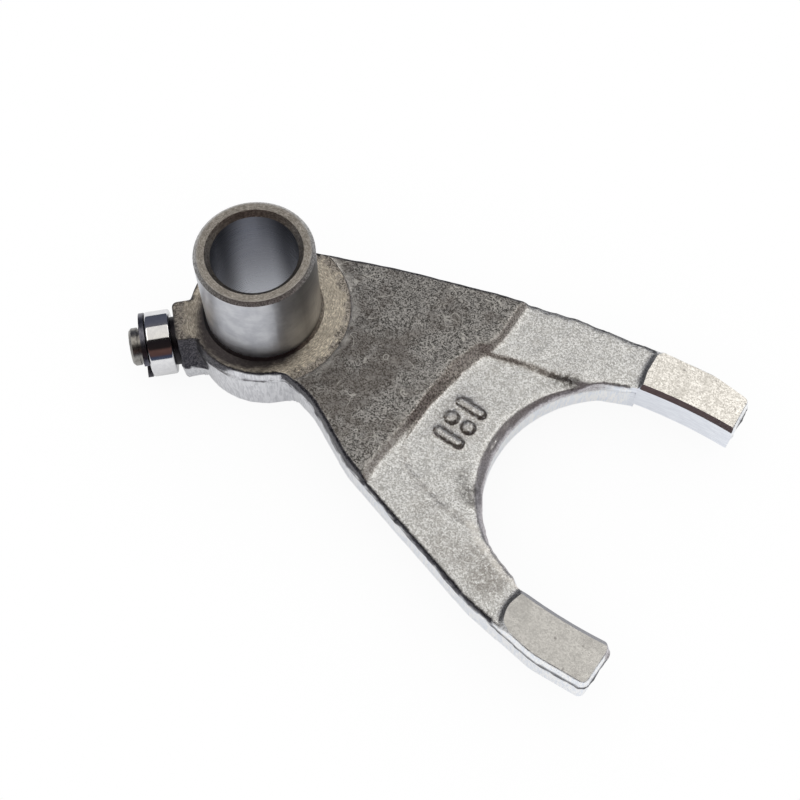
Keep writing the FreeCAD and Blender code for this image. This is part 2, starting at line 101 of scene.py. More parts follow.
class Graph:
    """Node tree of one material, with short calls for the nodes that the surfaces use."""

    def __init__(self, name):
        self.material = bpy.data.materials.new(name)
        self.material.use_nodes = True
        self.tree = self.material.node_tree
        self.shader = self.tree.nodes["Principled BSDF"]
        self.shader.inputs["Metallic"].default_value = 1.0
        self.place = self.tree.nodes.new("ShaderNodeTexCoord").outputs["Object"]

    def node(self, kind, inputs, output=0, **settings):
        made = self.tree.nodes.new(kind)
        for key, value in settings.items():
            setattr(made, key, value)
        for key, value in inputs.items():
            self.feed(made.inputs[key], value)
        return made.outputs[output]

    def feed(self, socket, value):
        if isinstance(value, bpy.types.NodeSocket):
            self.tree.links.new(value, socket)
        elif isinstance(value, tuple) and socket.type == "RGBA":
            socket.default_value = (*value, 1.0)
        else:
            socket.default_value = value

    def math(self, operation, a, b=0.0):
        return self.node("ShaderNodeMath", {0: a, 1: b}, operation=operation)

    def stretched(self, x, y, z):
        return self.node("ShaderNodeMapping", {"Vector": self.place, "Scale": (x, y, z)})

    def noise(self, size_mm, detail=2.0, rough=0.5, place=None):
        """Noise from 0 to 1 whose grains are about size_mm across."""
        return self.node("ShaderNodeTexNoise", {
            "Vector": place or self.place, "Scale": 1.0 / (size_mm * MM), "Detail": detail,
            "Roughness": rough})

    def speckle(self, size_mm, place=None):
        """Salt-and-pepper level from 0 to 1: random small cells over soft noise."""
        cells = self.node("ShaderNodeTexVoronoi", {
            "Vector": place or self.place, "Scale": 1.0 / (size_mm * MM)}, output=1)
        level = self.node("ShaderNodeSeparateColor", {"Color": cells})
        soft = self.noise(1.6 * size_mm, 2.0, 0.6, place)
        return self.math("ADD", self.math("MULTIPLY", level, 0.6), self.math("MULTIPLY", soft, 0.4))

    def hairs(self, size_mm, share):
        """Sparse fine scratches, 1 on a scratch and 0 off it; share is how much has none."""
        line = self.math("ABSOLUTE", self.math("SUBTRACT", self.noise(size_mm, 1.0), 0.5))
        patch = self.ramp(self.noise(1.7 * size_mm, 1.0), share, share + 0.05)
        return self.math("MULTIPLY", self.ramp(line, 0.0, 0.022, 1.0, 0.0), patch)

    def axis(self, index):
        return self.node("ShaderNodeSeparateXYZ", {"Vector": self.place}, output=index)

    def sideways(self, radius_mm):
        """Place across the barrel, from -1 to 1 between the two sides of a cylinder of this radius."""
        share = ACROSS_BARREL / (radius_mm * MM)
        return self.node("ShaderNodeVectorMath", {0: self.place, 1: share}, output=1,
                         operation="DOT_PRODUCT")

    def height(self, low_mm, high_mm, out_low, out_high):
        """Value that changes smoothly between two heights."""
        return self.ramp(self.axis(2), low_mm * MM, high_mm * MM, out_low, out_high)

    def ramp(self, value, low, high, out_low=0.0, out_high=1.0):
        return self.node("ShaderNodeMapRange", {
            "Value": value, "From Min": low, "From Max": high, "To Min": out_low,
            "To Max": out_high}, interpolation_type="SMOOTHSTEP")

    def mix(self, share, a, b):
        """Colour a where share is 0 and colour b where it is 1."""
        made = self.tree.nodes.new("ShaderNodeMix")
        made.data_type = "RGBA"
        self.feed(made.inputs[0], share)
        self.feed(made.inputs[6], a)
        self.feed(made.inputs[7], b)
        return made.outputs[2]

    def attribute(self, name):
        return self.node("ShaderNodeAttribute", {}, output=2, attribute_name=name)

    def bump(self, height, depth_mm, strength=1.0, normal=None):
        inputs = {"Height": height, "Distance": depth_mm * MM, "Strength": strength}
        if normal:
            inputs["Normal"] = normal
        return self.node("ShaderNodeBump", inputs)

    def finish(self, colour, rough, normal=None):
        self.feed(self.shader.inputs["Base Color"], colour)
        self.feed(self.shader.inputs["Roughness"], rough)
        if normal:
            self.feed(self.shader.inputs["Normal"], normal)
        return self.material


def forged_skin():
    """Shot-blasted forging: dark oxide on the web, bright arms and walls, with painted shade along its
    edges, flash line and creases and round the barrel's foot, and painted light on its inner steps.
    """
    g = Graph("forged_skin")
    fine = g.speckle(0.16)
    coarse = g.noise(1.1, 2.0, 0.5)
    cloud = g.noise(6.0, 3.0, 0.6)
    arm = g.mix(g.ramp(fine, 0.2, 0.8), (0.43, 0.43, 0.425), (0.83, 0.84, 0.85))
    arm = g.mix(g.ramp(coarse, 0.5, 0.75, 0.0, 0.3), arm, (0.42, 0.41, 0.39))
    web = g.mix(g.ramp(fine, 0.2, 0.8), (0.066, 0.064, 0.061), (0.42, 0.41, 0.40))
    web = g.mix(g.ramp(cloud, 0.42, 0.60, 0.0, 0.55), web, (0.110, 0.095, 0.086))
    web = g.mix(g.ramp(coarse, 0.52, 0.72, 0.0, 0.35), web, (0.34, 0.335, 0.33))
    web = g.mix(g.math("MULTIPLY", g.hairs(2.2, 0.54), 0.6), web, (0.62, 0.61, 0.58))
    top = g.mix(g.attribute("web"), arm, web)
    slope = g.mix(g.ramp(fine, 0.2, 0.8), (0.46, 0.44, 0.455), (0.72, 0.695, 0.715))
    top = g.mix(g.attribute("slope"), top, slope)
    # Painted light: the inner steps take a lighter colour, lighter still by the pale level, for light
    # they catch
    step = g.mix(g.ramp(fine, 0.2, 0.8), (0.24, 0.215, 0.195), (0.92, 0.87, 0.83))
    pale = g.mix(g.ramp(fine, 0.2, 0.8), (0.50, 0.47, 0.44), (1.0, 0.99, 0.97))
    step = g.mix(g.attribute("pale"), step, pale)
    top = g.mix(g.attribute("step"), top, step)
    # Brown dirt in blots and round the mark, and painted shade in the crease, at the seam and on the
    # mark's flanks
    soil_and_shade = g.math("MULTIPLY", g.attribute("soil_and_shade"), g.ramp(g.speckle(0.3), 0.2, 0.6, 0.0, 1.0))
    top = g.mix(soil_and_shade, top, (0.150, 0.125, 0.105))
    # Bright wear on the near arm's edge, and painted light in a band round the spot face
    top = g.mix(g.attribute("wear_and_light"), top, (1.0, 0.98, 0.94))
    top = g.mix(g.attribute("side"), top, blasted_wall(g))
    # Painted shade: near black along the outline's upper edges, the flash line, the boss's flank, the
    # pad starts and the hub's top edge
    rim_shade = g.mix(g.ramp(fine, 0.3, 0.8), (0.03, 0.03, 0.037), (0.10, 0.096, 0.108))
    colour = g.mix(g.attribute("rim_shade"), top, rim_shade)
    # Stains on the arms, and painted shadow of the barrel round its foot
    stain_and_shadow = g.math("MULTIPLY", g.attribute("stain_and_shadow"), g.ramp(g.speckle(0.3), 0.2, 0.6, 0.2, 1.0))
    colour = g.mix(stain_and_shadow, colour, (0.060, 0.053, 0.048))
    normal = g.bump(fine, 0.04, 0.8)
    normal = g.bump(coarse, 0.10, 0.5, normal)
    rough = g.math("SUBTRACT", 0.45, g.math("MULTIPLY", g.attribute("side"), 0.17))
    dull = g.math("MULTIPLY", g.attribute("step"), g.attribute("pale"))
    return g.finish(colour, g.math("ADD", rough, g.math("MULTIPLY", dull, 0.2)), normal)


def blasted_wall(g):
    """Colour of the forging's sides: grey with upright marks by the hub, near white on the arms."""
    upright = g.speckle(0.22, g.stretched(1.0, 1.0, 0.16))
    patch = g.noise(1.0, 2.0, 0.5)
    grain = g.ramp(upright, 0.2, 0.75)
    hub = g.mix(grain, (0.60, 0.605, 0.64), (0.80, 0.805, 0.84))
    arm = g.mix(grain, (0.85, 0.89, 0.96), (1.0, 1.0, 1.0))
    arm = g.mix(g.ramp(patch, 0.5, 0.7, 0.0, 0.25), arm, (0.72, 0.76, 0.85))
    return g.mix(g.ramp(g.axis(0), 10.0 * MM, 34.0 * MM), hub, arm)


def ground_barrel():
    """Ground barrel, brightest low down, with a painted dark reflection on the side that looks along
    the web.
    """
    g = Graph("ground_barrel")
    rings = g.noise(0.5, 2.0, 0.6, g.stretched(0.08, 0.08, 1.6))
    cloud = g.noise(2.2, 3.0, 0.6)
    colour = g.mix(g.ramp(cloud, 0.3, 0.7), (0.46, 0.47, 0.51), (0.60, 0.61, 0.64))
    colour = g.mix(g.height(3.0, 9.0, 0.45, 0.0), colour, (0.84, 0.86, 0.90))
    # Painted dark reflection across the barrel's side that looks along the web
    colour = g.mix(g.ramp(g.sideways(BARREL_R_MM), 0.30, 0.72, 0.0, 0.72), colour, (0.06, 0.058, 0.062))
    rough = g.ramp(rings, 0.3, 0.7, 0.32, 0.40)
    return g.finish(colour, rough, g.bump(rings, 0.008, 0.6))


def ground_bore():
    """Ground bore, with painted light at its foot and painted dark reflection at its sides and toward
    its mouth.
    """
    g = Graph("ground_bore")
    rings = g.noise(0.5, 2.0, 0.6, g.stretched(0.08, 0.08, 1.6))
    colour = g.mix(g.ramp(rings, 0.3, 0.7), (0.36, 0.37, 0.42), (0.44, 0.45, 0.50))
    # Painted light low in the bore
    colour = g.mix(g.height(-6.0, 9.0, 0.85, 0.0), colour, (0.88, 0.91, 0.98))
    # Painted dark reflection at the bore's sides, strongest toward its mouth
    across = g.math("ABSOLUTE", g.math("SUBTRACT", g.sideways(BORE_R_MM), 0.06))
    shade = g.math("MULTIPLY", g.ramp(across, 0.30, 0.80), g.height(-6.0, 6.0, 0.45, 0.82))
    colour = g.mix(shade, colour, (0.02, 0.02, 0.03))
    return g.finish(colour, g.ramp(rings, 0.3, 0.7, 0.26, 0.34), g.bump(rings, 0.008, 0.6))


def turned_face(name, dark, light, edge_mm, ragged_mm, edge):
    """Face turned round the rail bore; beyond a ragged radius it takes its edge colours."""
    g = Graph(name)
    x = g.axis(0)
    y = g.axis(1)
    radius = g.math("SQRT", g.math("ADD", g.math("MULTIPLY", x, x), g.math("MULTIPLY", y, y)))
    angle = g.math("ARCTAN2", y, x)
    polar = g.node("ShaderNodeCombineXYZ", {0: radius, 1: g.math("MULTIPLY", angle, 0.002), 2: 0.0})
    marks = g.noise(0.14, 2.0, 0.6, polar)
    fine = g.speckle(0.17)
    cloud = g.noise(2.0, 3.0, 0.6)
    colour = g.mix(g.ramp(marks, 0.3, 0.7), dark, light)
    colour = g.mix(g.ramp(cloud, 0.42, 0.70, 0.0, 0.45), colour, dark)
    colour = g.mix(g.ramp(fine, 0.3, 0.85, 0.0, 0.6), colour, dark)
    ragged = g.math("MULTIPLY", g.math("SUBTRACT", g.noise(1.6, 3.0, 0.7), 0.5), ragged_mm * MM)
    outside = g.ramp(g.math("ADD", radius, ragged), (edge_mm - 0.5) * MM, (edge_mm + 0.2) * MM)
    colour = g.mix(outside, colour, g.mix(g.ramp(fine, 0.2, 0.8), *edge))
    # Painted shadow of the barrel on the spot face round its foot
    colour = g.mix(g.attribute("stain_and_shadow"), colour, (0.042, 0.036, 0.040))
    # Painted shade along the spot face's outer edge by the hub
    colour = g.mix(g.attribute("rim_shade"), colour, (0.05, 0.048, 0.05))
    normal = g.bump(fine, 0.03, 0.5, g.bump(marks, 0.02, 0.6))
    return g.finish(colour, 0.42, normal)


def turned_ring():
    """Turned ends of the barrel: dull brown, with painted light on the outer chamfer."""
    # The edge colours are painted light on the outer chamfer
    return turned_face("turned_ring", (0.21, 0.192, 0.170), (0.54, 0.505, 0.46), 7.9, 0.4,
                       ((0.30, 0.29, 0.28), (0.66, 0.65, 0.635)))


def turned_spot():
    """Spot face round the barrel: pale brown, as dark as the web where it runs out."""
    return turned_face("turned_spot", (0.33, 0.295, 0.245), (0.98, 0.90, 0.765), 11.7, 5.5,
                       ((0.14, 0.125, 0.11), (0.50, 0.46, 0.41)))


def ground_pad():
    """Ground claw pad: fine speckle and faint grinding lines, lighter on the far pad."""
    g = Graph("ground_pad")
    lines = g.noise(0.35, 2.0, 0.6, g.stretched(0.35, 1.5, 1.0))
    fine = g.speckle(0.17)
    cloud = g.noise(2.2, 3.0, 0.6)
    side = g.axis(1)
    far = g.ramp(side, -5.0 * MM, 5.0 * MM)
    light = g.mix(far, (0.52, 0.515, 0.505), (0.84, 0.825, 0.80))
    dull = g.mix(far, (0.30, 0.295, 0.29), (0.41, 0.395, 0.37))
    depth = g.ramp(side, -5.0 * MM, 5.0 * MM, 0.6, 0.9)
    grain = g.math("MULTIPLY", g.ramp(fine, 0.25, 0.85), depth)
    colour = g.mix(grain, light, dull)
    colour = g.mix(g.ramp(lines, 0.35, 0.7, 0.0, 0.3), colour, dull)
    colour = g.mix(g.ramp(cloud, 0.45, 0.70, 0.0, 0.5), colour, dull)
    colour = g.mix(g.ramp(g.noise(0.9, 1.0), 0.70, 0.76, 0.0, 0.6), colour, (0.16, 0.15, 0.15))
    normal = g.bump(fine, 0.02, 0.4, g.bump(lines, 0.012, 0.5))
    return g.finish(colour, 0.36, normal)


def ground_wall():
    """Ground inner wall of the claw's pads, with painted shade along the near pad's upper edge."""
    g = Graph("ground_wall")
    lines = g.noise(0.5, 2.0, 0.6, g.stretched(0.3, 0.3, 2.0))
    colour = g.mix(g.ramp(lines, 0.3, 0.7), (0.78, 0.81, 0.88), (0.90, 0.93, 0.99))
    near_pad = g.ramp(g.axis(1), -10.0 * MM, -12.0 * MM)
    # Painted shade along the near pad's upper edge
    upper_edge_shade = g.math("MULTIPLY", near_pad, g.height(2.2, 2.45, 0.0, 1.0))
    colour = g.mix(upper_edge_shade, colour, (0.36, 0.36, 0.38))
    return g.finish(colour, 0.3, g.bump(lines, 0.01, 0.5))


def turned_pin():
    """Turned end of the follower pin, dull grey."""
    g = Graph("turned_pin")
    fine = g.noise(0.5, 2.0, 0.6)
    colour = g.mix(g.ramp(fine, 0.3, 0.7), (0.20, 0.19, 0.18), (0.34, 0.33, 0.31))
    return g.finish(colour, 0.34, g.bump(fine, 0.01, 0.5))


def shoulder_shade():
    """Turned shoulder behind the roller, painted near black for the shade in the gap between the roller
    and the boss.
    """
    g = Graph("shoulder_shade")
    return g.finish(g.mix(g.noise(0.5), (0.02, 0.02, 0.025), (0.06, 0.055, 0.06)), 0.5)


def polished_roller():
    """Hardened and polished steel, near a mirror."""
    g = Graph("polished_roller")
    fine = g.noise(0.6, 2.0, 0.5)
    colour = g.mix(g.ramp(fine, 0.3, 0.7), (0.68, 0.68, 0.70), (0.75, 0.75, 0.76))
    return g.finish(colour, 0.09, g.bump(fine, 0.002, 0.5))


def black_clip():
    """Blackened spring steel."""
    g = Graph("black_clip")
    fine = g.noise(0.4, 2.0, 0.6)
    colour = g.mix(g.ramp(fine, 0.3, 0.7), (0.10, 0.10, 0.125), (0.17, 0.17, 0.20))
    return g.finish(colour, 0.32, g.bump(fine, 0.01, 0.5))


def region_of(centre, normal):
    """The region of the forging that a face belongs to, from where it lies and how it faces."""
    x, y, z = centre / MM
    radius = math.hypot(x, y)
    along = x * PIN_AXIS.x + y * PIN_AXIS.y
    across = math.hypot(x * PIN_AXIS.y - y * PIN_AXIS.x, z - PIN_Z_MM)
    if along > BOSS_END_MM + 0.02 or (along > BOSS_END_MM - 0.05 and across < SHOULDER_R_MM):
        return SHOULDER if along < ROLLER_SPAN_MM[0] + 0.03 else PIN
    if radius < BORE_R_MM + 0.05:
        return BORE
    if radius < BARREL_R_MM + 0.02 and (z > BARREL_TOP_MM - 1.0 or z < BARREL_LOW_MM + 0.75):
        return RING if abs(normal.z) > 0.3 else BARREL
    if radius < BARREL_R_MM + 0.02 and z > PAD_TOP_MM + 0.3:
        return BARREL
    if radius < BARREL_R_MM + 0.6 and z > PAD_TOP_MM - 0.01:
        return SPOT
    if normal.z > 0.999 and abs(z - PAD_TOP_MM) < 0.01:
        return PAD if x > PAD_START_MM - 2.0 else SPOT
    if normal.z < -0.999 and abs(z + PAD_TOP_MM) < 0.01 and x > PAD_START_MM:
        return PAD
    in_gap = x > PAD_START_MM - 0.5 and abs(y - CLAW_Y_MM) < CLAW_HALF_GAP_MM + 0.6
    if in_gap and abs(normal.y) > 0.55:
        return WALL
    return SKIN


def cut_grid(mesh, axis, step):
    """Cuts the forged skin by planes across one axis, so that its faces are fine enough to shape."""
    across = Vector([1.0 if i == axis else 0.0 for i in range(3)])
    low = min(v.co[axis] for v in mesh.verts)
    high = max(v.co[axis] for v in mesh.verts)
    count = int((high - low) / step)
    for k in range(1, count + 1):
        level = low + k * step
        chosen = set()
        for face in mesh.faces:
            if face.material_index not in (SKIN, SPOT, PAD):
                continue
            sides = [v.co[axis] > level for v in face.verts]
            if all(sides) or not any(sides):
                continue
            chosen.add(face)
            chosen.update(face.edges)
            chosen.update(face.verts)
        if chosen:
            bmesh.ops.bisect_plane(mesh, geom=list(chosen), dist=1e-7, plane_co=across * level,
                                   plane_no=across)


def smooth_step(value, low, high):
    """0 below the low end and 1 above the high one, with a smooth rise between them."""
    t = min(1.0, max(0.0, (value - low) / (high - low)))
    return t * t * (3.0 - 2.0 * t)


def wave(place, size_mm, seed):
    """Smooth noise from -1 to 1 at a place, with waves about size_mm long."""
    return noise.noise(place / (size_mm * MM) + Vector((seed, 0.0, 0.0)))


# Size of the faces that the forging is cut into
GRID_MM = 0.6

# Relief of the forged skin: length of the waves, how deep they are, and the seed of their noise
RELIEF_MM = ((2.6, 0.05, 3.0), (1.1, 0.03, 7.0))

# Ridge that the trimmed flash leaves: half its height, how far it juts out, and how far it wanders
FLASH_HALF_MM = 0.22
FLASH_RAGGED_MM = 0.14
FLASH_DRIFT_MM = 0.12

# Passes that soften the forged skin's shape, and that blend the web's tint
SOFTENING_PASSES = 3
TINT_PASSES = 2

# Angles past which an edge shows sharp: between two regions, on machined faces, on forged skin
SHARP_BETWEEN = math.radians(12.0)
SHARP_MACHINED = math.radians(34.0)
SHARP_FORGED = math.radians(50.0)

# Height above which nothing is forged
FORGED_TOP_MM = 4.0

# Where the boss that carries the pin begins, along the pin, and half its width at the flash
BOSS_START_MM = 8.3
BOSS_HALF_MM = 5.6

# How far out of a sloped place the fork has to end for it to count as an outer side
OUTER_STEP_MM = 1.3

# Inner slope of the claw: its circle's middle and radius, and the ends of the slope along x
CLAW_CIRCLE_MM = (57.5, CLAW_Y_MM, 21.0)
SLOPE_START_MM = 36.0
FAR_SLOPE_END_MM = (46.0, 49.0)

# How a face leans where a step's tint starts and where it is full, as minus its normal's height
STEP_LEAN = (-0.97, -0.85)

# Where each part of the outline ends along x, its top, and how far down the painted dark band below its
# upper edge reaches
RIM_SHADE_MM = ((29.0, WEB_TOP_MM, 1.7), (PAD_START_MM, ARM_TOP_MM, 0.9), (90.0, PAD_TOP_MM, 0.0))

# Stains on the recess and arms (the first five), and painted shadow of the barrel round its foot (the
# last four): middle, radius of the dark core, radius where it ends, and strength
STAINS_AND_SHADOWS_MM = [(38.9, -8.9, 0.2, 2.1, 0.8), (37.3, -7.6, 0.2, 1.7, 0.5), (40.1, -10.0, 0.2, 1.4, 0.7),
             (42.6, 12.7, 0.4, 1.9, 0.8), (40.9, 12.1, 0.3, 1.5, 0.5), (-0.3, -2.0, 7.7, 9.6, 0.96),
             (-8.5, -7.4, 1.5, 5.0, 0.4), (-4.6, -8.2, 0.8, 2.6, 0.75), (2.0, 10.5, 1.5, 6.0, 0.22)]

# Brown soil on the forging, given in the same way
SOIL_MM = [(47.5, -18.0, 1.5, 4.2, 0.50), (44.5, -16.8, 1.2, 3.4, 0.38), (41.0, -17.5, 1.2, 4.4, 0.30),
           (36.0, -14.5, 1.2, 4.0, 0.20)]

# The raised mark in the recess: its middle, its radius, and where the soot round it fades
MARK_MM = (32.8, -0.6)
MARK_R_MM = 4.0
MARK_SOOT_MM = (2.2, 4.6)

# Shallow crease along the near arm, and where its painted shade fades, from its middle
CREASE_MM = [(28.3, -8.3), (29.5, -9.7), (31.4, -11.0), (34.8, -11.8), (37.4, -12.8), (40.5, -12.9),
             (42.8, -13.3)]
CREASE_FADE_MM = (0.07, 0.7)

# Foot of the step between the recess and the far arm, and where its painted shade fades
SEAM_MM = [(32.6, 10.7), (35.1, 11.5), (37.7, 12.1), (39.9, 12.4), (42.4, 12.9)]
SEAM_FADE_MM = (0.16, 0.8)

# Bright worn strip along the near arm's inner edge, and where it fades
WORN_EDGE_MM = [(41.6, -12.9), (43.9, -14.3), (46.3, -15.4), (48.6, -16.4), (51.0, -17.2)]
WORN_FADE_MM = (0.375, 0.75)


def boss_place(place):
    """Distance along the follower pin and across it of a place in millimetres."""
    along = place.x * PIN_AXIS.x + place.y * PIN_AXIS.y
    return along, abs(place.x * PIN_AXIS.y - place.y * PIN_AXIS.x)


def on_boss(place):
    """Whether a place lies on the boss that carries the pin."""
    along, across = boss_place(place)
    return along > BOSS_START_MM and across < BOSS_HALF_MM


def flash_height(place):
    """Height of the parting line at a place: lower round the boss that carries the pin."""
    return PIN_Z_MM if on_boss(place) else PARTING_MM


def roughen(mesh):
    """Softens the forged skin, then moves it in and out a little, most along the flash ridge."""
    skin = [v for v in mesh.verts if all(f.material_index == SKIN for f in v.link_faces)]
    for _ in range(SOFTENING_PASSES):
        bmesh.ops.smooth_vert(mesh, verts=skin, factor=0.5, use_axis_x=True, use_axis_y=True,
                              use_axis_z=True)
    mesh.normal_update()
    moves = []
    for vert in skin:
        push = sum(depth * wave(vert.co, size, seed) for size, depth, seed in RELIEF_MM)
        place = vert.co / MM
        offset = Vector((0.0, 0.0, 0.0))
        if abs(place.z - flash_height(place)) < FLASH_HALF_MM and abs(vert.normal.z) < 0.8:
            push += FLASH_RAGGED_MM * (0.3 + wave(vert.co, 1.3, 11.0) + 0.6 * wave(vert.co, 0.5, 5.0))
            offset.z = FLASH_DRIFT_MM * wave(vert.co, 4.0, 17.0)
        moves.append((vert, vert.normal * push + offset))
    for vert, move in moves:
        vert.co += move * MM
        vert.co.z = max(vert.co.z, BARREL_LOW_MM * MM)


def on_line(place, line, fade):
    """1 on a line of points in plan, falling to 0 between two distances from it."""
    here = place.to_2d()
    gaps = []
    for a, b in zip(line, line[1:]):
        start = Vector(a)
        run = Vector(b) - start
        share = min(1.0, max(0.0, (here - start).dot(run) / run.length_squared))
        gaps.append((here - start - run * share).length)
    return 1.0 - smooth_step(min(gaps), *fade)


def blot(place, spots):
    """Strength of the strongest of some round spots at a place, with ragged edges."""
    level = 0.0
    for x, y, core, end, strength in spots:
        reach = math.hypot(place.x - x, place.y - y) + 0.5 * wave(place * MM, 1.2, 41.0)
        level = max(level, strength * (1.0 - smooth_step(reach, core, end)))
    return level


def falls_away(tree, place, heading, step_mm):
    """Whether the fork has ended within a step of a place in one direction."""
    start = place + heading * step_mm + UP
    return tree.ray_cast(start * MM, -UP, 5.0 * MM)[0] is None


def near_edge(tree, place, step_mm):
    """How near an edge a place is: 1 where the fork ends within a step in two directions or more."""
    turns = [math.radians(a) for a in range(0, 360, 45)]
    ends = [falls_away(tree, place, Vector((math.cos(t), math.sin(t), 0.0)), step_mm) for t in turns]
    return min(1.0, sum(ends) / 2.0)


def outer_rim_shade(place, up):
    """Painted shade on the outline's upper edge, on the boss's flank above the pin's parting line, and
    along the flash line, on the forging's outer sides.
    """
    x, y, z = place
    _, top, depth = next(part for part in RIM_SHADE_MM if x < part[0])
    ragged = 0.35 * wave(place * MM, 1.6, 23.0)
    if on_boss(place):
        # Painted shade on the boss's flank above the pin's parting line, for how it faces
        low = smooth_step(z, PIN_Z_MM - 0.2 + ragged, PIN_Z_MM + 0.1 + ragged)
        return low * smooth_step(-up, -0.998, -0.975)
    if x < BARREL_R_MM - 0.25 and y < 0.0:
        # Painted shade reaches further down on the hub's near side towards the boss
        depth = 0.5 + 2.2 * smooth_step(boss_place(place)[0], 5.0, 9.5)
    rim_shade = smooth_step(z, top - depth - 0.2 + ragged, top - depth + 0.2 + ragged) if depth else 0.0
    width = 0.34 if x > PAD_START_MM else 0.24
    # Painted shade under the flash ridge along the parting line
    flash = 1.0 - smooth_step(abs(z - PARTING_MM - 0.1), 0.3 * width, width)
    if x < PAD_START_MM:
        flash *= smooth_step(wave(place * MM, 2.4, 31.0), -0.25, 0.2)
    return smooth_step(-up, -0.985, -0.88) * max(rim_shade, 0.9 * flash)


def mark_gap(place):
    """Distance in plan from the middle of the raised mark."""
    return math.hypot(place.x - MARK_MM[0], place.y - MARK_MM[1])


def edge_tints(tree, place, normal, tilted):
    """Painted shade on the rims and flash line, the painted-light tint of the inner steps, and tint of
    the claw's inner slope.
    """
    x, y, z = place
    up = normal.z
    level = Vector((normal.x, normal.y, 0.0))
    sloped = level.length > 0.15
    outer = on_boss(place) or (sloped and falls_away(tree, place, level.normalized(), OUTER_STEP_MM))
    centre_x, centre_y, radius = CLAW_CIRCLE_MM
    in_claw = math.hypot(x - centre_x, y - centre_y) < radius and x > SLOPE_START_MM
    rim_shade = 0.0
    step = 0.0
    slope = 0.0
    if in_claw and outer:
        slope = smooth_step(-up, -0.95, -0.85) * smooth_step(z, 0.0, 0.6)
        if y > 0.0:
            slope *= 1.0 - smooth_step(x, *FAR_SLOPE_END_MM)
    elif outer:
        rim_shade = outer_rim_shade(place, up)
    elif x > PAD_START_MM - 2.75:
        # Painted shade on the leaning faces where the pads start
        rim_shade = 0.6 * tilted
    elif not in_claw and up > 0.3 and mark_gap(place) > MARK_R_MM:
        step = tilted
    if x < 9.0 and up > 0.97 and z > 2.5:
        # Painted shade: a dark line along the hub's upper edge by the spot face
        rim_shade = max(rim_shade, 0.8 * near_edge(tree, place, 0.4))
    side = smooth_step(-up, -0.6, -0.3) * (1.0 - slope) if outer else 0.0
    return {"rim_shade": rim_shade if z < FORGED_TOP_MM else 0.0, "step": step, "slope": slope, "side": side}


def soil_and_shading(place, tilted):
    """Brown dirt in blots and round the mark, with painted shade in the crease, at the foot of the seam
    and on the mark's flanks.
    """
    mark = mark_gap(place)
    level = max(blot(place, SOIL_MM), 0.35 * (1.0 - smooth_step(mark, *MARK_SOOT_MM)))
    if mark < MARK_R_MM:
        # Painted shade on the mark's flanks
        level = max(level, 0.8 * tilted)
    if 1.0 < place.z < WEB_TOP_MM - 0.15:
        # Painted shade in the crease and at the foot of the seam
        level = max(level, 0.4 * on_line(place, CREASE_MM, CREASE_FADE_MM),
                    0.5 * on_line(place, SEAM_MM, SEAM_FADE_MM))
    return level


def wear_and_painted_light(place):
    """Bright bare metal along the near arm's inner edge, and painted light in a ragged band of the web
    round the spot face, over the shade of the small step there.
    """
    worn_and_lit = 0.35 * on_line(place, WORN_EDGE_MM, WORN_FADE_MM)
    # Painted light in a ragged band round the spot face
    if place.x > 2.0 and place.z > 2.5:
        reach = math.hypot(place.x, place.y) + 0.9 * wave(place * MM, 1.5, 51.0)
        worn_and_lit = max(worn_and_lit, 0.4 * (1.0 - smooth_step(reach, 12.3, 13.5)))
    return worn_and_lit


def step_light_level(place):
    """How much painted light the inner steps get: most by the near arm, least by the middle of the web.
    """
    x, y, _ = place
    if x <= 14.0:
        return 0.3
    return max(smooth_step(-y, 3.5, 8.0), 0.45 * smooth_step(y, 4.0, 9.0),
               0.4 * smooth_step(x, 31.0, 34.0))


def tints(tree, place, normal):
    """How much of each surface kind shows at one place of the forging, from 0 to 1."""
    x, _, z = place
    up = normal.z
    tilted = smooth_step(-up, *STEP_LEAN) if z > 1.0 else 0.0
    levels = edge_tints(tree, place, normal, tilted)
    levels["web"] = smooth_step(z, ARM_TOP_MM + 0.1, WEB_TOP_MM - 0.05) if x < 33.0 else 0.0
    # Painted light on the inner steps
    levels["pale"] = step_light_level(place)
    levels["soil_and_shade"] = soil_and_shading(place, tilted)
    levels["wear_and_light"] = wear_and_painted_light(place) if up > 0.5 and 1.0 < z < WEB_TOP_MM + 0.25 else 0.0
    # Stains on the arms, and painted shadow of the barrel round its foot
    levels["stain_and_shadow"] = blot(place, STAINS_AND_SHADOWS_MM) if up > 0.3 and z < FORGED_TOP_MM else 0.0
    return levels


def spread(mesh, levels):
    """Blends the web's tint at each vertex with its neighbours', so that its border fades softly."""
    around = [[edge.other_vert(vert).index for edge in vert.link_edges] for vert in mesh.verts]
    for _ in range(TINT_PASSES):
        old = [level["web"] for level in levels]
        for level, own, others in zip(levels, old, around):
            level["web"] = 0.5 * own + 0.5 * sum(old[i] for i in others) / len(others)


def add_object(name, data):
    """New object in the scene round a mesh, lamp or camera."""
    made = bpy.data.objects.new(name, data)
    bpy.context.scene.collection.objects.link(made)
    return made


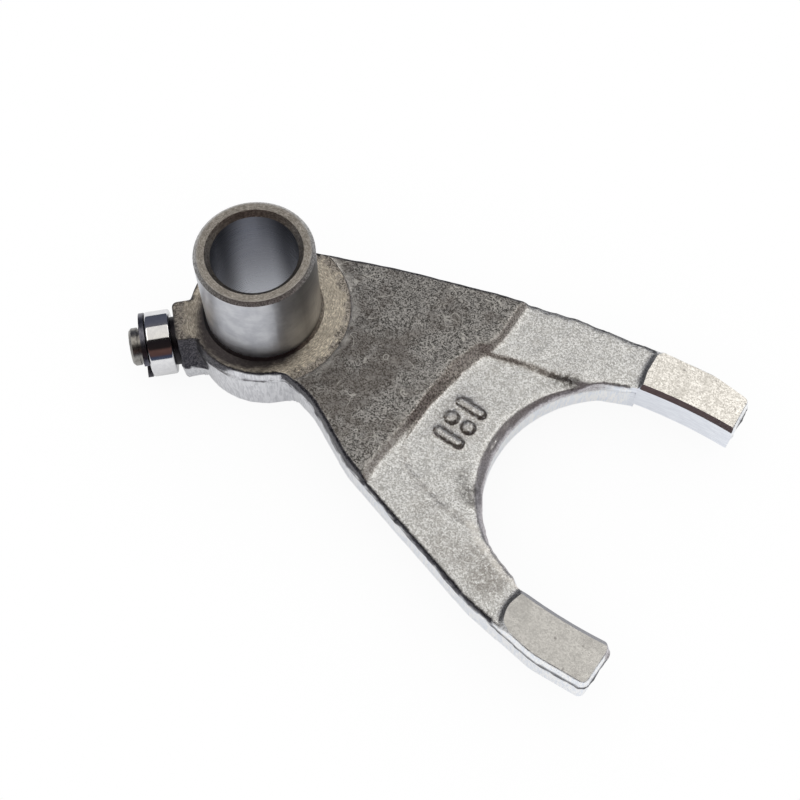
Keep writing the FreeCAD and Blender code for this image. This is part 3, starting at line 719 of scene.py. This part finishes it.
def forging():
    """The fork as it shows: the CAD solid's mesh, cut finer and roughened where it is forged."""
    mesh = bmesh.new()
    mesh.from_mesh(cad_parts["fork"].data)
    bmesh.ops.remove_doubles(mesh, verts=mesh.verts, dist=2e-6)
    mesh.normal_update()
    for face in mesh.faces:
        face.material_index = region_of(face.calc_center_median(), face.normal)
    bmesh.ops.dissolve_limit(mesh, angle_limit=0.004, verts=mesh.verts, edges=mesh.edges,
                             delimit={"MATERIAL"})
    step_mm = GRID_MM
    for axis in range(3):
        cut_grid(mesh, axis, step_mm * MM)
    bmesh.ops.triangulate(mesh, faces=[f for f in mesh.faces if len(f.verts) > 3])
    roughen(mesh)
    for face in mesh.faces:
        face.smooth = True
    for edge in mesh.edges:
        kinds = {f.material_index for f in edge.link_faces}
        limit = SHARP_MACHINED if len(kinds) == 1 else SHARP_BETWEEN
        if kinds == {SKIN} or kinds == {SKIN, SPOT}:
            limit = SHARP_FORGED
        edge.smooth = edge.calc_face_angle(0.0) < limit
    data = bpy.data.meshes.new("fork_forging")
    mesh.normal_update()
    tree = BVHTree.FromBMesh(mesh)
    levels = [tints(tree, vert.co / MM, vert.normal) for vert in mesh.verts]
    mesh.verts.index_update()
    spread(mesh, levels)
    mesh.to_mesh(data)
    mesh.free()
    for name in levels[0]:
        attribute = data.attributes.new(name, "FLOAT", "POINT")
        attribute.data.foreach_set("value", [level[name] for level in levels])
    made = add_object("fork_forging", data)
    normals = made.modifiers.new("even_normals", "WEIGHTED_NORMAL")
    normals.keep_sharp = True
    for material in (forged_skin(), ground_barrel(), ground_bore(), turned_ring(), turned_spot(),
                     ground_pad(), ground_wall(), turned_pin(), shoulder_shade()):
        data.materials.append(material)
    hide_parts("fork")
    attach(made, "fork")


def dress(node, material):
    """Gives a CAD node that shows as it is its one material."""
    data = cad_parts[node].data
    data.materials.clear()
    data.materials.append(material)


def roller():
    """Polished sleeve with truly round edges, in place of the faceted solid."""
    low, high = ROLLER_SPAN_MM
    edge = ROLLER_EDGE_MM
    profile = [(ROLLER_BORE_MM, low + 0.2), (ROLLER_BORE_MM + 0.2, low)]
    for turn in range(0, 91, 15):
        t = math.radians(turn)
        profile.append((ROLLER_R_MM - edge + edge * math.sin(t), low + edge - edge * math.cos(t)))
    for turn in range(0, 91, 15):
        t = math.radians(turn)
        profile.append((ROLLER_R_MM - edge + edge * math.cos(t), high - edge + edge * math.sin(t)))
    profile += [(ROLLER_BORE_MM + 0.2, high), (ROLLER_BORE_MM, high - 0.2)]
    rings = []
    mesh = bmesh.new()
    for k in range(ROLLER_SEGMENTS):
        t = 2.0 * math.pi * k / ROLLER_SEGMENTS
        out = ACROSS_PIN * math.cos(t) + UP * math.sin(t)
        rings.append([mesh.verts.new((PIN_AXIS * s + out * r + UP * PIN_Z_MM) * MM)
                      for r, s in profile])
    count = len(profile)
    for k in range(ROLLER_SEGMENTS):
        here = rings[k]
        following = rings[(k + 1) % ROLLER_SEGMENTS]
        for i in range(count):
            j = (i + 1) % count
            mesh.faces.new((here[i], following[i], following[j], here[j])).smooth = True
    bmesh.ops.recalc_face_normals(mesh, faces=mesh.faces)
    data = bpy.data.meshes.new("follower_roller")
    mesh.to_mesh(data)
    mesh.free()
    data.set_sharp_from_angle(angle=math.radians(30.0))
    made = add_object("follower_roller", data)
    data.materials.append(polished_roller())
    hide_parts("roller")
    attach(made, "roller")


def soft_box(low, high, brightness):
    """Level panel overhead, between two angles along the follower pin."""
    start = BOX_HEIGHT * math.tan(math.radians(low))
    end = BOX_HEIGHT * math.tan(math.radians(high))
    light = bpy.data.lights.new("soft_box", "AREA")
    light.shape = "RECTANGLE"
    light.size = end - start
    light.size_y = BOX_HEIGHT * (math.tan(BOX_FAR) + math.tan(BOX_NEAR))
    light.energy = brightness * math.pi * light.size * light.size_y
    light.color = BOX_COLOUR
    made = add_object("soft_box", light)
    shift = BOX_HEIGHT * (math.tan(BOX_NEAR) - math.tan(BOX_FAR)) / 2.0
    place = PIN_AXIS * ((start + end) / 2.0) + ACROSS_PIN * shift + UP * BOX_HEIGHT
    turn = Matrix((PIN_AXIS, PIN_AXIS.cross(UP), UP)).transposed()
    made.matrix_world = Matrix.Translation(place) @ turn.to_4x4()


# Room round the object: angle from overhead across the pin, in degrees, and the colour there
ROOM = [
    (-180.0, (0.08, 0.09, 0.12)), (-92.0, (0.08, 0.09, 0.12)), (-50.0, (0.11, 0.115, 0.15)),
    (-33.0, (0.14, 0.14, 0.16)), (11.0, (0.14, 0.13, 0.12)), (14.0, (0.012, 0.010, 0.012)),
    (48.0, (0.02, 0.015, 0.015)), (56.0, (0.12, 0.065, 0.055)), (72.0, (0.10, 0.055, 0.05)),
    (80.0, (0.05, 0.06, 0.10)), (97.0, (0.10, 0.12, 0.17)), (180.0, (0.08, 0.09, 0.12)),
]


def room():
    """Dim room, white where the camera looks straight at it."""
    world = bpy.data.worlds.new("room")
    bpy.context.scene.world = world
    world.use_nodes = True
    nodes = world.node_tree.nodes
    links = world.node_tree.links
    coords = nodes.new("ShaderNodeTexCoord")
    across = nodes.new("ShaderNodeVectorMath")
    across.operation = "DOT_PRODUCT"
    across.inputs[1].default_value = ACROSS_PIN
    links.new(coords.outputs["Generated"], across.inputs[0])
    split = nodes.new("ShaderNodeSeparateXYZ")
    links.new(coords.outputs["Generated"], split.inputs[0])
    angle = nodes.new("ShaderNodeMath")
    angle.operation = "ARCTAN2"
    links.new(across.outputs["Value"], angle.inputs[0])
    links.new(split.outputs[2], angle.inputs[1])
    share = nodes.new("ShaderNodeMapRange")
    share.inputs["From Min"].default_value = -math.pi
    share.inputs["From Max"].default_value = math.pi
    links.new(angle.outputs[0], share.inputs["Value"])
    ramp = nodes.new("ShaderNodeValToRGB")
    stops = ramp.color_ramp.elements
    while len(stops) < len(ROOM):
        stops.new(0.5)
    for stop, (degrees, colour) in zip(stops, ROOM):
        stop.position = (degrees + 180.0) / 360.0
        stop.color = (*colour, 1.0)
    links.new(share.outputs[0], ramp.inputs[0])
    path = nodes.new("ShaderNodeLightPath")
    seen = nodes.new("ShaderNodeMix")
    seen.data_type = "RGBA"
    seen.inputs[7].default_value = (1.0, 1.0, 1.0, 1.0)
    links.new(path.outputs["Is Camera Ray"], seen.inputs[0])
    links.new(ramp.outputs[0], seen.inputs[6])
    links.new(seen.outputs[2], nodes["Background"].inputs["Color"])


def table_top():
    """White table that glows white and keeps a soft shadow close round the object, painted from ambient
    occlusion.
    """
    bpy.ops.mesh.primitive_circle_add(vertices=96, radius=1.2, fill_type="NGON",
                                      location=(0.02, 0.0, CAD_BOX[0][2]))
    table = bpy.context.object
    table.name = "table_top"
    material = bpy.data.materials.new("white_table")
    material.use_nodes = True
    nodes = material.node_tree.nodes
    links = material.node_tree.links
    shader = nodes["Principled BSDF"]
    shader.inputs["Base Color"].default_value = (0.85, 0.86, 0.88, 1.0)
    shader.inputs["Roughness"].default_value = 0.6
    # Painted shadow: the table's glow is dimmed by ambient occlusion near the object
    open_sky = nodes.new("ShaderNodeAmbientOcclusion")
    open_sky.samples = 8
    open_sky.inputs["Distance"].default_value = 0.03
    path = nodes.new("ShaderNodeLightPath")
    depth = nodes.new("ShaderNodeMapRange")
    depth.inputs["To Min"].default_value = 0.40
    depth.inputs["To Max"].default_value = 1.0
    links.new(open_sky.outputs["AO"], depth.inputs["Value"])
    lift = nodes.new("ShaderNodeMapRange")
    lift.inputs["To Min"].default_value = 0.93
    lift.inputs["To Max"].default_value = 1.0
    links.new(open_sky.outputs["AO"], lift.inputs["Value"])
    level = nodes.new("ShaderNodeMix")
    level.data_type = "FLOAT"
    links.new(path.outputs["Is Camera Ray"], level.inputs[0])
    links.new(depth.outputs[0], level.inputs[2])
    links.new(lift.outputs[0], level.inputs[3])
    glow = nodes.new("ShaderNodeEmission")
    glow.inputs["Color"].default_value = (1.0, 1.0, 1.0, 1.0)
    links.new(level.outputs[0], glow.inputs["Strength"])
    either = nodes.new("ShaderNodeMath")
    either.operation = "MAXIMUM"
    links.new(path.outputs["Is Camera Ray"], either.inputs[0])
    links.new(path.outputs["Is Glossy Ray"], either.inputs[1])
    both = nodes.new("ShaderNodeMixShader")
    links.new(either.outputs[0], both.inputs[0])
    links.new(shader.outputs[0], both.inputs[1])
    links.new(glow.outputs[0], both.inputs[2])
    links.new(both.outputs[0], nodes["Material Output"].inputs["Surface"])
    table.data.materials.append(material)


def camera():
    """The photograph's own view, solved from the barrel's circles and the claw's tips."""
    lens = bpy.data.cameras.new("camera")
    lens.sensor_width = 36.0
    lens.lens = 65.8046
    lens.clip_start = 0.01
    made = add_object("camera", lens)
    made.location = Vector((71.791, -78.319, 183.950)) * MM
    made.rotation_euler = [math.radians(a) for a in (26.3265, 0.2846, 31.4764)]
    bpy.context.scene.camera = made


forging()
roller()
dress("clip", black_clip())
for span_low, span_high, level in BOXES:
    soft_box(span_low, span_high, level)
room()
table_top()
camera()
bpy.context.scene.view_settings.view_transform = "Standard"
